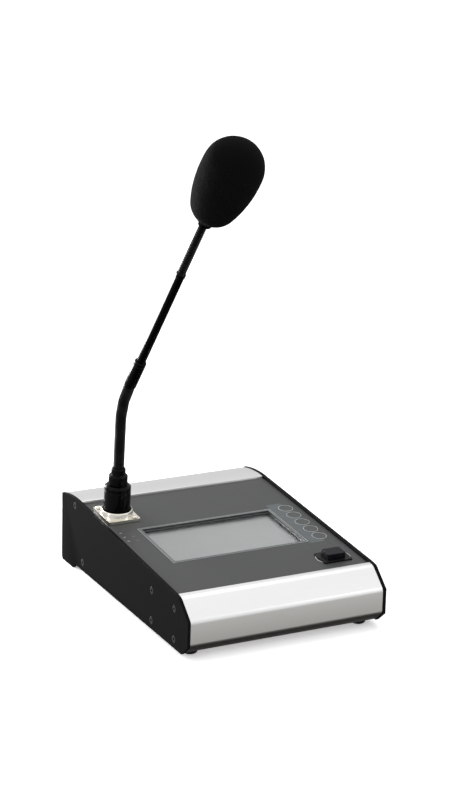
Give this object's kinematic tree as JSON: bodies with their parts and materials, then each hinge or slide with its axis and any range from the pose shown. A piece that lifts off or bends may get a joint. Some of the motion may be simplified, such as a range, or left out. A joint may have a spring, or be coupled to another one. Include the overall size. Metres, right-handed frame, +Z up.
{
  "type": "gooseneck podium microphone",
  "caption": "Wedge-shaped desk console with a touch display, round keys and a talk key, and a plug-in gooseneck microphone with a foam windscreen.",
  "frame": {"origin": "on the table, under the middle of the console", "axes": "+Z up, +X to the talker's right, -Y towards the talker"},
  "size_m": [0.16, 0.223, 0.3601],
  "materials": {
    "black_powder_coat": "satin powder coat",
    "microphone_black": "semi-gloss black",
    "black_plastic": "satin",
    "display_grey": "display film, unlit",
    "zinc_steel": "plated",
    "foam": "open-cell foam",
    "rubber": "matte",
    "satin_aluminium": "satin anodised",
    "key_grey": "satin",
    "circuit_board": "solder mask",
    "flexible_neck": "ribbed, matte",
    "black_screw": "black oxide",
    "nickel": "satin nickel",
    "light_pipe": "clear, frosted",
    "talk_key_plastic": "satin",
    "grey_satin_plate": "satin dark grey",
    "touch_glass": "clear cover glass"
  },
  "bodies": {
    "base": {"bottom_plate": "black_powder_coat", "display_bezel": "black_plastic", "display_module": "display_grey", "flange_screw_1": "zinc_steel", "flange_screw_2": "zinc_steel", "front_foot_left": "rubber", "front_foot_right": "rubber", "front_rail": "satin_aluminium", "key_board": "circuit_board", "main_board": "circuit_board", "network_jack_1": "zinc_steel", "network_jack_2": "zinc_steel", "power_inlet": "black_plastic", "rear_panel": "black_powder_coat", "rear_rail": "satin_aluminium", "side_panel_left": "black_powder_coat", "side_panel_right": "black_powder_coat", "side_screw_left_1": "black_screw", "side_screw_left_2": "black_screw", "side_screw_left_3": "black_screw", "side_screw_left_4": "black_screw", "side_screw_left_5": "black_screw", "side_screw_left_6": "black_screw", "side_screw_right_1": "black_screw", "side_screw_right_2": "black_screw", "side_screw_right_3": "black_screw", "side_screw_right_4": "black_screw", "side_screw_right_5": "black_screw", "side_screw_right_6": "black_screw", "socket_flange": "nickel", "socket_insert": "black_plastic", "status_light_guide": "light_pipe", "talk_key_frame": "black_plastic", "talk_switch": "black_plastic", "top_plate": "grey_satin_plate", "touch_glass": "touch_glass"},
    "mic_head": {"capsule_housing": "microphone_black", "microphone_capsule": "zinc_steel"},
    "windscreen": {"foam_windscreen": "foam"},
    "function_key_1": {"function_key_1": "key_grey"},
    "function_key_2": {"function_key_2": "key_grey"},
    "function_key_3": {"function_key_3": "key_grey"},
    "function_key_4": {"function_key_4": "key_grey"},
    "function_key_5": {"function_key_5": "key_grey"},
    "latch_tab": {"latch_tab": "zinc_steel"},
    "lower_link_1": {"lower_flex_link_1": "flexible_neck"},
    "lower_link_2": {"lower_flex_link_2": "flexible_neck"},
    "lower_link_3": {"lower_flex_link_3": "flexible_neck"},
    "lower_link_4": {"lower_flex_link_4": "flexible_neck"},
    "lower_link_5": {"lower_flex_link_5": "flexible_neck"},
    "neck_tube": {"neck_ferrule": "microphone_black", "neck_tube": "microphone_black", "tube_ring": "microphone_black"},
    "mic_plug": {"plug_collar": "microphone_black", "plug_pins": "black_plastic", "plug_shell": "microphone_black"},
    "talk_key": {"talk_key": "talk_key_plastic"},
    "upper_link_1": {"upper_flex_link_1": "flexible_neck"},
    "upper_link_2": {"upper_flex_link_2": "flexible_neck"},
    "upper_link_3": {"upper_flex_link_3": "flexible_neck"}
  },
  "joints": [
    {"name": "talk_key_press", "type": "slide", "parent": "base", "child": "talk_key", "axis": [0, 0.0718, -0.9974], "range_m": [0, 0.002], "stiffness_N_per_m": 500, "springref_m": -0.002},
    {"name": "function_key_1_press", "type": "slide", "parent": "base", "child": "function_key_1", "axis": [0, 0.0718, -0.9974], "range_m": [0, 0.0005], "stiffness_N_per_m": 1600, "springref_m": -0.0005},
    {"name": "function_key_2_press", "type": "slide", "parent": "base", "child": "function_key_2", "axis": [0, 0.0718, -0.9974], "range_m": [0, 0.0005], "stiffness_N_per_m": 1600, "springref_m": -0.0005},
    {"name": "function_key_3_press", "type": "slide", "parent": "base", "child": "function_key_3", "axis": [0, 0.0718, -0.9974], "range_m": [0, 0.0005], "stiffness_N_per_m": 1600, "springref_m": -0.0005},
    {"name": "function_key_4_press", "type": "slide", "parent": "base", "child": "function_key_4", "axis": [0, 0.0718, -0.9974], "range_m": [0, 0.0005], "stiffness_N_per_m": 1600, "springref_m": -0.0005},
    {"name": "function_key_5_press", "type": "slide", "parent": "base", "child": "function_key_5", "axis": [0, 0.0718, -0.9974], "range_m": [0, 0.0005], "stiffness_N_per_m": 1600, "springref_m": -0.0005},
    {"name": "latch_tab_press", "type": "slide", "parent": "base", "child": "latch_tab", "axis": [0, 0.0718, -0.9974], "range_m": [0, 0.001], "stiffness_N_per_m": 1500, "springref_m": -0.001},
    {"name": "plug_pull", "type": "slide", "parent": "base", "child": "mic_plug", "axis": [0, -0.0718, 0.9974], "range_m": [0, 0.036]},
    {"name": "lower_flex_1_forward", "type": "hinge", "parent": "mic_plug", "child": "lower_link_1", "pos_m": [-0.0621, 0.04613, 0.09451], "axis": [0.9199, 0.3912, 0.0282], "range_deg": [-20, 20]},
    {"name": "lower_flex_2_sideways", "type": "hinge", "parent": "lower_link_1", "child": "lower_link_2", "pos_m": [-0.0621, 0.04519, 0.10757], "axis": [0.3922, -0.9175, -0.0661], "range_deg": [-20, 20]},
    {"name": "lower_flex_3_forward", "type": "hinge", "parent": "lower_link_2", "child": "lower_link_3", "pos_m": [-0.0621, 0.04425, 0.12063], "axis": [0.9199, 0.3912, 0.0282], "range_deg": [-20, 20]},
    {"name": "lower_flex_4_sideways", "type": "hinge", "parent": "lower_link_3", "child": "lower_link_4", "pos_m": [-0.06205, 0.04318, 0.13367], "axis": [0.3914, -0.911, -0.1296], "range_deg": [-20, 20]},
    {"name": "lower_flex_5_forward", "type": "hinge", "parent": "lower_link_4", "child": "lower_link_5", "pos_m": [-0.06122, 0.04033, 0.1464], "axis": [0.9199, 0.3912, 0.0282], "range_deg": [-20, 20]},
    {"name": "lower_flex_6_sideways", "type": "hinge", "parent": "lower_link_5", "child": "neck_tube", "pos_m": [-0.05944, 0.03529, 0.15833], "axis": [0.3578, -0.8077, -0.4686], "range_deg": [-20, 20]},
    {"name": "upper_flex_1_forward", "type": "hinge", "parent": "neck_tube", "child": "upper_link_1", "pos_m": [-0.04175, -0.01333, 0.25563], "axis": [0.9199, 0.3912, 0.0282], "range_deg": [-20, 20]},
    {"name": "upper_flex_2_sideways", "type": "hinge", "parent": "upper_link_1", "child": "upper_link_2", "pos_m": [-0.03952, -0.01945, 0.26788], "axis": [0.3578, -0.8077, -0.4686], "range_deg": [-20, 20]},
    {"name": "upper_flex_3_forward", "type": "hinge", "parent": "upper_link_2", "child": "upper_link_3", "pos_m": [-0.0373, -0.02556, 0.28012], "axis": [0.9199, 0.3912, 0.0282], "range_deg": [-20, 20]},
    {"name": "upper_flex_4_sideways", "type": "hinge", "parent": "upper_link_3", "child": "mic_head", "pos_m": [-0.03507, -0.03168, 0.29237], "axis": [0.3578, -0.8077, -0.4686], "range_deg": [-20, 20]},
    {"name": "windscreen_pull", "type": "slide", "parent": "mic_head", "child": "windscreen", "axis": [0.176, -0.476, 0.8617], "range_m": [0, 0.045]}
  ]
}
